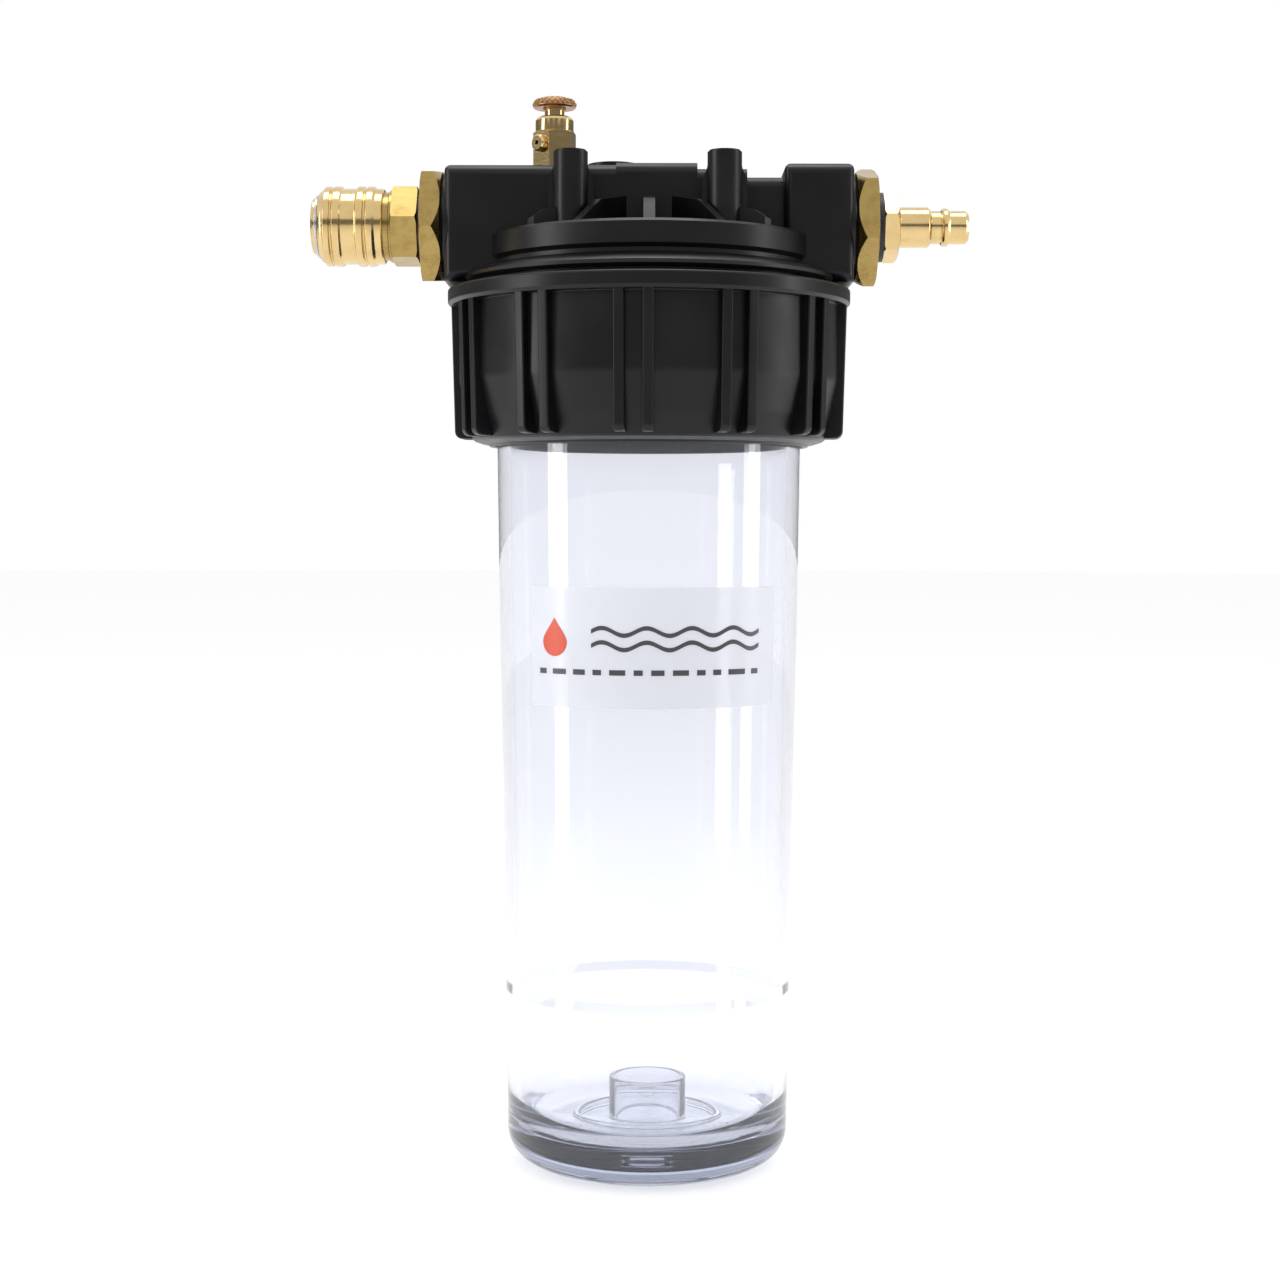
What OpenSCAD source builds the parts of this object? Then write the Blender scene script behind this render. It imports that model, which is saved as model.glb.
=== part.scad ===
// In-line 10 inch water filter housing with quick couplings.
// A clear bowl hangs from a moulded head in a ribbed union nut. Brass reducers close the two
// ports: a quick coupling is screwed into the left one, a quick plug into the right one.
// Millimetres. Origin at the centre of the bowl's flat base, +Z up, +X from coupling to plug,
// -Y towards the front, where the label is.

/* [Bowl] */
// Height from the base to the underside of the bowl's flange
bowl_body_h = 228; // [180:1:300]
// Outer radius under the flange
bowl_top_r = 46.9; // [42:0.1:47.3]
// Outer radius where the bottom corner starts
bowl_base_r = 43.8; // [42:0.1:46]
// Wall thickness
bowl_wall = 3.9; // [2.5:0.1:5]
// Thickness of the floor
bowl_floor = 11; // [6:0.1:14]
// Radius of the bottom corner, outside
bowl_corner_r = 8.5; // [4:0.5:14]
// Radius of the bottom corner, inside
bowl_inner_corner_r = 12; // [3:0.5:12.5]
// Height of the small step in the inner wall
bowl_step_z = 55; // [40:1:100]
// Depth of the step
bowl_step = 0.6; // [0.1:0.1:1]
// Outer radius of the flange that the nut lifts
bowl_flange_r = 52.6; // [51:0.1:54]
// Thickness of the flange
bowl_flange_h = 7; // [4:0.5:10]
// Height of the neck above the flange
bowl_neck_h = 30; // [26:0.5:36]
// Outer radius of the cartridge stub on the floor
stub_r = 12; // [8:0.1:16]
// Wall of the cartridge stub
stub_wall = 1.6; // [1:0.1:3]
// Height of the cartridge stub above the floor
stub_h = 14.8; // [6:0.1:20]
// Inner radius of the low ring round the stub
seat_ring_r = 21.2; // [18:0.1:26]
// Width of the low ring
seat_ring_w = 2.3; // [1:0.1:4]
// Height of the low ring
seat_ring_h = 2.5; // [1:0.5:6]

/* [Label] */
// Lower edge of the label above the base
label_z = 144.4; // [60:0.1:160]
// Height of the label
label_h = 35.4; // [20:0.1:60]
// Half of the angle that the label covers
label_half_angle = 51; // [20:1:80]
// Thickness of the film
label_t = 0.25; // [0.1:0.05:0.5]

/* [Union nut] */
// Height of the nut
nut_h = 48.2; // [44:0.1:60]
// Outer radius of the top rim
nut_rim_r = 62; // [61:0.1:66]
// Height of the top rim
nut_rim_h = 5.2; // [3:0.1:8]
// Outer radius of the wall between the ribs
nut_wall_r = 58.5; // [58:0.1:59.5]
// Number of rib pairs
rib_pairs = 12; // [6:1:14]
// Width of one rib
rib_w = 3.2; // [2:0.1:4]
// Angle between the two ribs of a pair
rib_pair_angle = 8; // [6:0.5:10]
// Outer radius of the ribs at their top
rib_top_r = 61.1; // [60:0.1:62]
// Outer radius of the ribs at their bottom
rib_bottom_r = 60; // [59:0.1:61]
// Radius of the opening that the bowl passes through
nut_opening_r = 47.7; // [47.6:0.1:48.4]
// Pitch of the nut's thread
thread_pitch = 6; // [5:0.5:8]
// Turns that free the nut from the head
thread_turns = 3.5; // [2:0.5:3.5]

/* [Head] */
// Distance from port face to port face
port_to_port = 126.2; // [124:0.1:150]
// Height of the port axis above the head's lower face
port_rise = 18.2; // [18:0.1:20]
// Radius of the lower flange
head_flange_r = 57.9; // [57:0.1:60]
// Radius of the upper disc
head_disc_r = 50.3; // [48:0.1:54]
// Radius of the collar under the flange, at the root of its thread
collar_r = 54.2; // [53.5:0.1:54.5]
// Half of the depth of the port blocks, front to back
block_y = 17.2; // [17:0.1:20]
// Radius of the round port bosses
boss_r = 16.8; // [16:0.1:18]
// Spacing of the screw posts across the head
post_dx = 45.5; // [42:0.5:50]
// Spacing of the screw posts, front to back
post_dy = 60; // [56:0.5:64]
// Radius of a screw post
post_r = 5.1; // [4:0.1:6]
// Radius of the screw hole in a post
post_hole_r = 2.1; // [1.5:0.1:2.6]
// Depth of the screw hole in a post
post_hole_h = 16; // [10:1:20]

/* [Reducers] */
// Width across the flats of a reducer
reducer_af = 33; // [32:0.5:36]
// Thickness of a reducer's hexagon
reducer_hex_h = 6.2; // [4:0.1:9]
// Length of a reducer's thread
reducer_thread_h = 13; // [9:0.5:15]
// Pitch radius of the port thread
port_thread_r = 12.64; // [12:0.01:13.2]
// Pitch radius of the small thread
small_thread_r = 6.15; // [6:0.01:6.4]

/* [Coupling] */
// Width across the flats of the adaptor
adaptor_af = 22; // [20:0.5:24]
// Length of the adaptor's hexagon
adaptor_hex_h = 7.9; // [6:0.1:10]
// Outer radius of the sleeve between its rings
sleeve_r = 11.5; // [11.4:0.05:12.4]
// How far the rings stand proud of the sleeve
sleeve_ring_h = 0.7; // [0.3:0.1:1.2]
// Length of the sleeve
sleeve_l = 20; // [19:0.1:22]
// How far the sleeve is drawn back to release the plug
sleeve_travel = 1.6; // [1.2:0.1:2]
// Outer radius of the socket tube
socket_r = 8.6; // [8.4:0.05:8.8]
// Radius of a locking ball
ball_r = 1.75; // [1.5:0.05:1.9]
// Number of locking balls
ball_count = 4; // [3:1:6]
// How far a ball moves out when the sleeve is drawn back
ball_lift = 1; // [0.8:0.1:1.1]
// How far the plug pushes the valve poppet in
poppet_travel = 2.5; // [1.5:0.1:3]

/* [Quick plug] */
// Width across the flats of the plug
plug_af = 19; // [17:0.5:22]
// Length of the plug's hexagon
plug_hex_h = 4.5; // [3:0.1:8]
// Radius of the plug's shank
plug_shank_r = 6.15; // [6:0.01:6.2]
// Length of the shank
plug_shank_l = 9; // [6:0.1:12]
// Radius of the plug's nose
plug_nose_r = 5.05; // [5:0.01:5.06]
// Length of the nose in front of the bead
plug_nose_l = 5.8; // [5:0.1:7]
// Radius of the plug's bead
plug_bead_r = 5.85; // [5.6:0.05:6]
// Length of the bead
plug_bead_l = 2.4; // [2:0.1:3]
// Radius of the neck that the balls grip
plug_neck_r = 5; // [4.8:0.05:5]
// Length of the neck
plug_neck_l = 3.9; // [3.7:0.1:4.5]
// Radius of the bore through coupling and plug
plug_bore_r = 3.6; // [2.5:0.1:3.8]

/* [Vent valve] */
// Distance of the valve from the head's centre
vent_x = 29.2; // [26:0.1:34]
// Width across the flats of the valve body
vent_af = 11.8; // [10:0.1:13]
// Height of the hexagon
vent_hex_h = 11.7; // [11.5:0.1:18]
// Radius of the round top of the body
vent_top_r = 5.85; // [5:0.05:6.2]
// Height of the round top
vent_top_h = 4.5; // [4:0.1:7]
// Radius of the spindle
spindle_r = 3; // [2.6:0.05:3.3]
// Radius of the knob
knob_r = 6.6; // [6:0.1:9]
// Height of the knob
knob_h = 3.4; // [3:0.1:6]
// Gap between the body and the knob when the valve is shut
knob_gap = 2.6; // [2.2:0.1:3.5]

/* [Clearances] */
// Radial clearance of a sliding or running fit
run_fit = 0.05; // [0.02:0.01:0.1]
// Radial clearance of a fixed thread or push fit
fixed_fit = 0.04; // [0.02:0.01:0.08]
// Clearance between faces that press on each other
face_fit = 0.05; // [0.02:0.01:0.1]
// Gap between the head's flange and the nut's rim
nut_gap = 1.5; // [1:0.1:2.5]

/* [Hidden] */
$fn = 96;
eps = 0.01;

black = "#1d1d21";
clear_plastic = [0.86, 0.91, 0.96, 0.45];
brass = "#cfa85a";
olive_brass = "#9a7f45";
steel = "#a8a9ab";
rubber = "#141416";

// Heights of the stack, from the base upwards
flange_top = bowl_body_h + bowl_flange_h;
neck_top = flange_top + bowl_neck_h;
nut_lip = 6;
nut_z = bowl_body_h - nut_lip;
nut_top = nut_z + nut_h;
head_z = nut_top + nut_gap;
port_z = head_z + port_rise;

// Bowl
bowl_draft = (bowl_top_r - bowl_base_r) / (bowl_body_h - bowl_corner_r);
function bowl_r(z) = bowl_base_r + bowl_draft * (z - bowl_corner_r);
neck_r = bowl_top_r;
ring_section = 3.6;
ring_squeeze = 0.3;
ring_z = neck_top - 8;
dimple_r = 3.6;
dimple_deep = 1.2;
dimple_at = 29.3;

// Thread between the head's collar and the nut
thread_room = 2;
nut_travel = thread_pitch * thread_turns;
nut_low_bore_r = bowl_flange_r + 0.4;
nut_bore_r = collar_r + thread_room;
nut_step_z = flange_top + 8;
collar_bottom = nut_top - nut_travel - 1;
collar_bore_r = neck_r + 0.5;

// Head
port_x = port_to_port / 2;
block_x = port_x - 1.2;
block_top = head_z + 34.9;
block_y_neck = 12.5;
block_edge_r = 3.4;
block_end_r = 2.6;
disc_z = head_z + 6.8;
disc_top = head_z + 14.4;
post_top = head_z + 36.7;
ceiling_z = head_z - 2;
head_bore_r = 9;
gallery_r = 9;
spigot_r = 14;
spigot_h = 13;
web_t = 2.4;
vent_thread_r = 4.6;
vent_thread_h = 8;

// Reducers, seals and what is screwed into them; u is the distance outwards from a port face
seal_r = 15.4;
seal_t = 1.5;
reducer_u = 0.3;
reducer_top_u = reducer_u + reducer_hex_h;
left_washer_t = 1.3;
right_washer_t = 2.4;
small_thread_h = 9;
adaptor_u = reducer_top_u + left_washer_t;
collar_u = adaptor_u + adaptor_hex_h;
collar_t = 0.9;
sleeve_u = collar_u + collar_t + sleeve_travel + 0.1;
sleeve_end_u = sleeve_u + sleeve_l;
snap_u = sleeve_end_u + face_fit;
snap_t = 0.9;
nose_u = snap_u + snap_t + 1.2;
lip_t = 1.2;
sleeve_lip_r = socket_r + run_fit + 0.05;
ball_u = sleeve_end_u - lip_t - sleeve_travel - ball_r + 0.15;
ball_rest = plug_neck_r + 0.15 + ball_r;
land_r = ball_rest + ball_r + run_fit;
release_slope = ball_lift / sleeve_travel;
recess_r = land_r + ball_lift + 0.1;
land_end_u = ball_u - 0.5;
mouth_r = plug_shank_r + 0.15;
guide_r = plug_nose_r + run_fit;
tip_to_ball = plug_nose_l + plug_bead_l + plug_neck_l / 2;
seat_u = ball_u - tip_to_ball + poppet_travel;
guide_top_u = ball_u - plug_neck_l / 2 - plug_bead_l - 0.1;
chamber_r = 6.6;
chamber_u = collar_u - 5;
socket_thread_r = 8;
poppet_seal_t = 1.5;
poppet_r = 6.1;
sleeve_spring_r = 9.35;
sleeve_spring_wire = 0.45;
sleeve_bore_r = 10.5;
sleeve_step_u = sleeve_u + 8.6;
skirt_r = sleeve_bore_r - 0.1;
skirt_wall = 0.5;
skirt_end_u = sleeve_u + 2.4;
plug_u = reducer_top_u + right_washer_t;

// Vent valve
vent_gasket_t = 0.6;
vent_z = block_top + vent_gasket_t;
vent_top_z = vent_z + vent_hex_h;
vent_cap_z = vent_top_z + vent_top_h;
knob_z = vent_cap_z + knob_gap;
seat_z = vent_z + 2.6;
spout_z = vent_z + 7.6;
spout_angle = 42.4;
spout_r = 2.6;
spout_bore_r = 0.65;
spout_l = 1.9;
vent_ring_z = vent_top_z + 1.2;
vent_ring_h = 1.8;

// A round-edged rectangle
module soft_rect(w, d, r) {
    square([w - 2 * r, d], center = true);
    square([w, d - 2 * r], center = true);
    for (x = [-1, 1], y = [-1, 1])
        translate([x * (w / 2 - r), y * (d / 2 - r)])
            circle(r);
}

// A block between two x positions with its long edges rounded
module soft_block(x0, x1, y_half, z0, z1, r) {
    translate([x0, 0, (z0 + z1) / 2])
        rotate([90, 0, 90])
            linear_extrude(x1 - x0)
                soft_rect(2 * y_half, z1 - z0, r);
}

// A soft block whose ends are rounded too. A blunt length keeps the inner end square
module port_block(side, x_in, x_out, top, blunt) {
    length = x_out - x_in + blunt;
    x_mid = side * (x_out + x_in - blunt) / 2;
    height = top - head_z + block_edge_r;
    intersection() {
        soft_block(min(side * x_in, side * x_out), max(side * x_in, side * x_out),
                   block_y, head_z, top, block_edge_r);
        translate([x_mid, block_y + 1, top - height / 2])
            rotate([90, 0, 0])
                linear_extrude(2 * block_y + 2)
                    soft_rect(length, height, block_end_r);
        translate([x_mid, 0, head_z - 1])
            linear_extrude(top - head_z + 2)
                soft_rect(length, 2 * block_y, block_end_r);
    }
}

// Puts a shape that grows along +Z on a port's axis: side -1 is the left port, 1 the right
module on_port(side) {
    translate([side * port_x, 0, port_z])
        rotate([0, side * 90, 0])
            children();
}

// A turned tube between two heights
module tube(r_out, r_in, z0, z1) {
    translate([0, 0, z0])
        difference() {
            cylinder(r = r_out, h = z1 - z0);
            translate([0, 0, -1])
                cylinder(r = r_in, h = z1 - z0 + 2);
        }
}

// A hexagon bar with the corners turned off at both ends
module turned_hex(af, h, low_cut, high_cut) {
    corner = af / sqrt(3);
    intersection() {
        cylinder(r = corner, h = h, $fn = 6);
        rotate_extrude()
            polygon([
                [0, 0], [corner - low_cut[0], 0], [corner + eps, low_cut[1]],
                [corner + eps, h - high_cut[1]], [corner - high_cut[0], h], [0, h]
            ]);
    }
}

// A helical wire: mean radius r, wire radius w, between z0 and z1
module wire_spring(r, w, z0, z1, turns) {
    steps = 14;
    sides = 6;
    n = turns * steps;
    rise = (z1 - z0 - 2 * w) / n;
    points = [
        for (i = [0:n], k = [0:sides - 1])
            let (a = i * 360 / steps, b = k * 360 / sides, q = r + w * cos(b))
            [q * cos(a), q * sin(a), z0 + w + rise * i + w * sin(b)]
    ];
    skin = [
        for (i = [0:n - 1], k = [0:sides - 1])
            let (p = i * sides + k, q = i * sides + (k + 1) % sides)
            [p, p + sides, q + sides, q]
    ];
    first = [for (k = [0:sides - 1]) k];
    last = [for (k = [sides - 1:-1:0]) n * sides + k];
    polyhedron(points = points, faces = concat(skin, [first, last]), convexity = 10);
}

// Clear moulded bowl with its flange, neck and cartridge seat
module bowl() {
    groove_r = neck_r - ring_section + ring_squeeze;
    floor_r = bowl_base_r - bowl_wall - bowl_inner_corner_r;
    c = bowl_corner_r;
    inner_z = bowl_floor + bowl_inner_corner_r;
    color(clear_plastic)
        difference() {
            union() {
                rotate_extrude() {
                    polygon([
                        [0, 0], [bowl_base_r - c, 0], [bowl_base_r - c, c], [bowl_base_r, c],
                        [bowl_top_r, bowl_body_h], [bowl_flange_r, bowl_body_h],
                        [bowl_flange_r, flange_top - 1], [bowl_flange_r - 1, flange_top],
                        [neck_r, flange_top], [neck_r, ring_z], [groove_r, ring_z],
                        [groove_r, ring_z + ring_section + 0.4],
                        [neck_r, ring_z + ring_section + 0.4], [neck_r, neck_top - 1.5],
                        [neck_r - 1, neck_top], [neck_r - bowl_wall, neck_top],
                        [bowl_top_r - bowl_wall, bowl_body_h],
                        [bowl_r(bowl_step_z) - bowl_wall, bowl_step_z + 0.4],
                        [bowl_r(bowl_step_z) - bowl_wall + bowl_step, bowl_step_z - 0.4],
                        [bowl_base_r - bowl_wall, inner_z], [floor_r, inner_z],
                        [floor_r, bowl_floor], [0, bowl_floor]
                    ]);
                    translate([bowl_base_r - c, c])
                        intersection() {
                            circle(c);
                            translate([0, -c])
                                square(c);
                        }
                    translate([floor_r, bowl_floor])
                        difference() {
                            square(bowl_inner_corner_r + 1);
                            translate([0, bowl_inner_corner_r])
                                circle(bowl_inner_corner_r);
                            translate([0, bowl_inner_corner_r])
                                square(bowl_inner_corner_r + 2);
                        }
                }
                tube(stub_r, stub_r - stub_wall, bowl_floor - 1, bowl_floor + stub_h);
                tube(seat_ring_r + seat_ring_w, seat_ring_r, bowl_floor - 1,
                     bowl_floor + seat_ring_h);
            }
            for (a = [-30, 90, 210])
                rotate([0, 0, a])
                    translate([dimple_at, 0, -1])
                        cylinder(r = dimple_r, h = dimple_deep + 1);
        }
}

// Seal in the groove of the bowl's neck
module bowl_o_ring() {
    color(rubber)
        rotate_extrude()
            translate([neck_r + ring_squeeze - ring_section / 2, ring_z + ring_section / 2 + 0.2])
                circle(ring_section / 2 - fixed_fit);
}

// Film label wrapped round the front of the bowl
module bowl_label() {
    gap = 0.04;
    low = bowl_r(label_z) + gap;
    high = bowl_r(label_z + label_h) + gap;
    color("#e4e8ee")
        rotate([0, 0, -90 - label_half_angle + 2.7])
            rotate_extrude(angle = 2 * label_half_angle)
                polygon([
                    [low, label_z], [low + label_t, label_z],
                    [high + label_t, label_z + label_h], [high, label_z + label_h]
                ]);
}

// One upright rib of the nut, standing on the +X side
module nut_rib() {
    r = 2;
    z0 = nut_z + 2.6;
    z1 = nut_top - nut_rim_h + 1;
    inner = 53.6;
    rotate([90, 0, 0])
        linear_extrude(rib_w, center = true) {
            polygon([
                [inner, z0], [rib_bottom_r - r, z0], [rib_bottom_r, z0 + r],
                [rib_top_r, z1], [nut_wall_r - 1, z1], [nut_wall_r - 1, nut_z + nut_h * 0.45]
            ]);
            translate([rib_bottom_r - r, z0 + r])
                circle(r);
        }
}

// Ribbed union nut that clamps the bowl to the head
module union_nut() {
    foot_r = 54.4;
    first_rib = -94.3;
    foot_z = nut_z + 2.2;
    lip_r = nut_opening_r + 1.3;
    shoulder_z = nut_z + nut_h * 0.42;
    rim_z = nut_top - nut_rim_h;
    lip_top = bowl_body_h - face_fit;
    color(black) {
        difference() {
            union() {
                rotate_extrude()
                    polygon([
                        [nut_opening_r, nut_z], [lip_r, nut_z],
                        [lip_r + 0.9, nut_z + 0.8], [lip_r + 2, nut_z + 0.8],
                        [foot_r - 0.8, foot_z - 0.6], [foot_r, foot_z],
                        [nut_wall_r - 2.1, nut_z + 9], [nut_wall_r - 0.8, nut_z + 14],
                        [nut_wall_r, shoulder_z], [nut_wall_r, rim_z], [nut_rim_r - 0.9, rim_z],
                        [nut_rim_r, rim_z + 1], [nut_rim_r, nut_top - 0.8],
                        [nut_rim_r - 0.8, nut_top], [nut_bore_r + 1, nut_top],
                        [nut_bore_r, nut_top - 1], [nut_bore_r, nut_step_z + 2.5],
                        [nut_low_bore_r, nut_step_z], [nut_low_bore_r, lip_top],
                        [nut_opening_r, lip_top]
                    ]);
                for (i = [0:rib_pairs - 1], s = [-1, 1])
                    rotate([0, 0, first_rib + i * 360 / rib_pairs + s * rib_pair_angle / 2])
                        nut_rib();
            }
            translate([0, 0, lip_top])
                cylinder(r = nut_low_bore_r, h = nut_step_z - lip_top);
        }
    }
}

// A rib on top of the head's disc, running outwards from a point on it
module disc_rib(x, y, turn, reach, rise, w) {
    translate([x, y, disc_top - 1])
        rotate([90, 0, turn - 90])
            linear_extrude(w, center = true)
                polygon([
                    [-1, 0], [reach, 0], [reach - 1, 0.9], [reach * 0.55, rise * 0.7 + 1],
                    [0, rise + 1], [-1, rise + 1]
                ]);
}

// Flared web that ties a screw post to the block behind it
module post_web() {
    foot = post_r + 1.6;
    h = block_top - disc_top;
    reach = post_dy / 2 - block_y + 1;
    translate([0, reach, 0])
        rotate([90, 0, 0])
            linear_extrude(reach)
                polygon([
                    [-foot, 0], [foot, 0], [foot, h - 8], [foot - 0.6, h - 5.5],
                    [foot - 1.4, h - 3.5], [post_r - 0.2, h - 1.5], [0.2 - post_r, h - 1.5],
                    [1.4 - foot, h - 3.5], [0.6 - foot, h - 5.5], [-foot, h - 8]
                ]);
}

// Screw post on the head's disc with its web; grown at the origin, block towards +Y
module screw_post() {
    h = post_top - disc_top;
    cylinder(r = post_r, h = h - 0.5);
    cylinder(r = post_r - 0.5, h = h);
    post_web();
}

// Material of the head's upper body: blocks, bosses, disc, posts and ribs
module head_solid() {
    dome_x = -11;
    step_x = [-10, 14.5, 29.5, 40.7];
    rotate_extrude()
        polygon([
            [0, head_z], [head_flange_r - 0.8, head_z], [head_flange_r, head_z + 0.8],
            [head_flange_r - 0.3, head_z + 1.9], [head_flange_r - 1.4, head_z + 2.9],
            [head_flange_r - 3, head_z + 3.4], [head_disc_r - 0.5, head_z + 4.2],
            [head_disc_r - 1.2, head_z + 5], [head_disc_r - 1.2, disc_z - 0.6],
            [head_disc_r - 0.6, disc_z], [head_disc_r, disc_z + 0.6],
            [head_disc_r, disc_top - 0.8], [head_disc_r - 0.8, disc_top], [0, disc_top]
        ]);
    port_block(-1, -step_x[0], block_x, block_top, 2 * block_end_r);
    soft_block(step_x[0] - eps, step_x[1], block_y, head_z, block_top + 0.7, block_edge_r);
    soft_block(step_x[1] - eps, step_x[2], block_y, head_z, block_top - 1.1, block_edge_r);
    soft_block(step_x[2] - eps, step_x[3] + block_end_r, block_y_neck, head_z, block_top - 2.9,
               block_edge_r);
    port_block(1, step_x[3], block_x, block_top + 0.6, 0);
    for (side = [-1, 1])
        on_port(side)
            rotate_extrude()
                polygon([
                    [0, -20], [boss_r, -20], [boss_r, -0.8], [boss_r - 0.8, 0], [0, 0]
                ]);
    translate([dome_x, 0, block_top - 2])
        cylinder(r = 8, h = 4.2);
    for (x = [-1, 1], back = [0, 180])
        translate([x * post_dx / 2 - 0.5, 0, disc_top - eps])
            rotate([0, 0, back])
                translate([0, -post_dy / 2, 0])
                    screw_post();
    intersection() {
        translate([0, 0, disc_top - 1.5])
            cylinder(r = head_disc_r - 1, h = 20);
        for (back = [0, 180])
            rotate([0, 0, back]) {
                rib_y = -block_y + 1;
                disc_rib(0, rib_y, 0, head_disc_r - block_y - 2, 11.2, 3.4);
                for (s = [-1, 1]) {
                    disc_rib(s * 7.7, rib_y, s * 25.6, head_disc_r - block_y - 1, 11, web_t);
                    disc_rib(s * post_dx / 2, -post_dy / 2, s * 68, 17, 6.4, web_t);
                }
            }
    }
}

// Moulded head with its ports, threaded collar, cartridge spigot and screw posts
module head() {
    gallery_x = -33;
    color(black)
        difference() {
            union() {
                head_solid();
                tube(collar_r, collar_bore_r, collar_bottom, head_z + 1);
                translate([0, 0, ceiling_z])
                    cylinder(r = collar_r - 1, h = head_z - ceiling_z + 1);
                translate([0, 0, ceiling_z - spigot_h])
                    cylinder(r = spigot_r, h = spigot_h + 1);
            }
            for (side = [-1, 1])
                on_port(side) {
                    translate([0, 0, -reducer_thread_h - 1])
                        cylinder(r = port_thread_r, h = reducer_thread_h + 2);
                    translate([0, 0, -seal_t])
                        cylinder(r = seal_r + 0.2, h = seal_t + 1);
                }
            on_port(-1)
                translate([0, 0, -port_x - gallery_x])
                    cylinder(r = gallery_r, h = port_x + gallery_x);
            translate([gallery_x, 0, ceiling_z - 1])
                cylinder(r = gallery_r, h = port_z - ceiling_z + 1);
            on_port(1)
                translate([0, 0, -port_x])
                    cylinder(r = head_bore_r, h = port_x);
            translate([0, 0, ceiling_z - spigot_h - 1])
                cylinder(r = head_bore_r, h = port_z - ceiling_z + spigot_h + 1);
            translate([-vent_x, 0, port_z])
                cylinder(r = vent_thread_r, h = block_top - port_z + 1);
            for (x = [-1, 1], y = [-1, 1])
                translate([x * post_dx / 2 - 0.5, y * post_dy / 2, post_top - post_hole_h])
                    cylinder(r = post_hole_r, h = post_hole_h + 1);
        }
}

// Brass reducer, grown along +Z from the port face
module reducer() {
    difference() {
        union() {
            translate([0, 0, reducer_u])
                turned_hex(reducer_af, reducer_hex_h, [2.5, 2.4], [1.6, 0.7]);
            translate([0, 0, -reducer_thread_h])
                cylinder(r = port_thread_r - fixed_fit, h = reducer_thread_h + reducer_u + eps);
        }
        translate([0, 0, reducer_top_u - small_thread_h])
            cylinder(r = small_thread_r, h = small_thread_h + 1);
        translate([0, 0, -reducer_thread_h - 1])
            cylinder(r = 4.5, h = reducer_thread_h + 2);
    }
}

module inlet_reducer() {
    color(olive_brass)
        on_port(-1)
            rotate([0, 0, 90 - 6.5])
                reducer();
}

module outlet_reducer() {
    color(olive_brass)
        on_port(1)
            rotate([0, 0, 90 + 16.5])
                reducer();
}

// Flat seal between a reducer and its port
module port_seal() {
    tube(seal_r, port_thread_r + 0.1, -seal_t + face_fit, reducer_u - face_fit);
}

module inlet_seal() {
    color(rubber)
        on_port(-1)
            port_seal();
}

module outlet_seal() {
    color(rubber)
        on_port(1)
            port_seal();
}

// Washer between the left reducer and the coupling
module coupling_washer() {
    color(rubber)
        on_port(-1)
            tube(10.6, small_thread_r + 0.1, reducer_top_u + face_fit, adaptor_u - face_fit);
}

// Hexagon end of the coupling, screwed into the left reducer
module coupling_adaptor() {
    color(brass)
        on_port(-1)
            difference() {
                union() {
                    translate([0, 0, adaptor_u])
                        rotate([0, 0, 90 + 6.8])
                            turned_hex(adaptor_af, adaptor_hex_h, [0.9, 0.4], [0.9, 0.4]);
                    rotate_extrude()
                        polygon([
                            [0, collar_u - 1], [adaptor_af / 2 - 0.4, collar_u - 1],
                            [sleeve_r - 0.5, collar_u + 0.1],
                            [sleeve_r - 0.5, collar_u + collar_t - 0.2],
                            [sleeve_r - 0.7, collar_u + collar_t], [0, collar_u + collar_t]
                        ]);
                    translate([0, 0, reducer_top_u - small_thread_h + 0.5])
                        cylinder(r = small_thread_r - fixed_fit,
                                 h = adaptor_u - reducer_top_u + small_thread_h);
                    tube(skirt_r, skirt_r - skirt_wall, collar_u, skirt_end_u);
                }
                translate([0, 0, chamber_u])
                    cylinder(r = socket_thread_r, h = nose_u);
                cylinder(r = plug_bore_r, h = nose_u);
            }
}

// Tube that takes the plug and holds the balls
module coupling_socket() {
    color(steel)
        on_port(-1)
            difference() {
                union() {
                    translate([0, 0, chamber_u + 0.1])
                        cylinder(r = socket_thread_r - fixed_fit, h = 6);
                    translate([0, 0, collar_u + collar_t + face_fit])
                        cylinder(r = socket_r, h = snap_u + snap_t - collar_u - collar_t + 0.1);
                    translate([0, 0, snap_u + snap_t])
                        rotate_extrude()
                            polygon([
                                [0, 0], [socket_r, 0], [socket_r, 0.7], [socket_r - 0.5, 1.2],
                                [0, 1.2]
                            ]);
                }
                translate([0, 0, chamber_u - 1])
                    cylinder(r = chamber_r, h = seat_u - chamber_u + 1);
                translate([0, 0, chamber_u])
                    cylinder(r = guide_r, h = nose_u);
                translate([0, 0, guide_top_u])
                    cylinder(r = mouth_r, h = nose_u);
                translate([0, 0, nose_u - 0.5])
                    cylinder(r1 = mouth_r, r2 = mouth_r + 1, h = 1);
                tube(socket_r + 1, socket_r - 0.7, snap_u, snap_u + snap_t);
                for (i = [0:ball_count - 1])
                    rotate([0, 90, i * 360 / ball_count + 45])
                        translate([-ball_u, 0, 0])
                            cylinder(r = ball_r + run_fit, h = 2 * socket_r);
            }
}

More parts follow.
